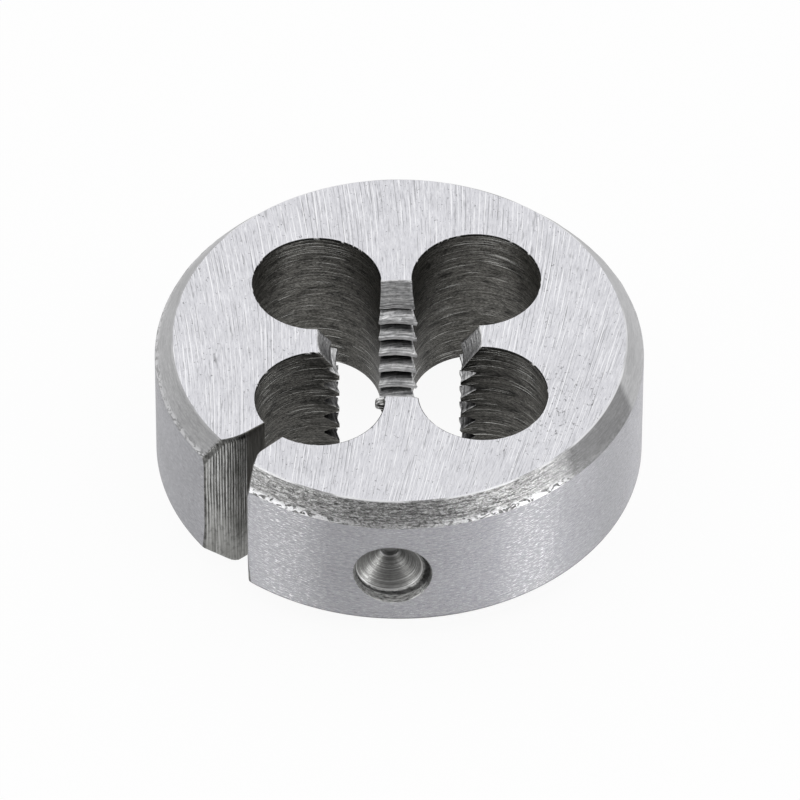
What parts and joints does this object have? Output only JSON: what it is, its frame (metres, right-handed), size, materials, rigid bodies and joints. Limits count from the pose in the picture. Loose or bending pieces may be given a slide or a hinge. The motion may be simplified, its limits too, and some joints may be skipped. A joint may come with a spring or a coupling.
{
  "type": "threading die",
  "caption": "Round split threading die: a hardened steel disc whose central lands carry thread-cutting teeth between open chip holes, with an adjusting slot and screw seats in its rim.",
  "frame": {"origin": "centre of the bottom face, on the thread axis", "axes": "+Z along the thread axis from the bottom face to the top face; the adjusting slot opens towards -X -Y; -Y is the front, with a screw seat"},
  "size_m": [0.038, 0.038, 0.0135],
  "materials": {
    "ground_steel": "ground faces, turned chamfers"
  },
  "bodies": {
    "root": {"threading_die": "ground_steel"}
  },
  "joints": []
}
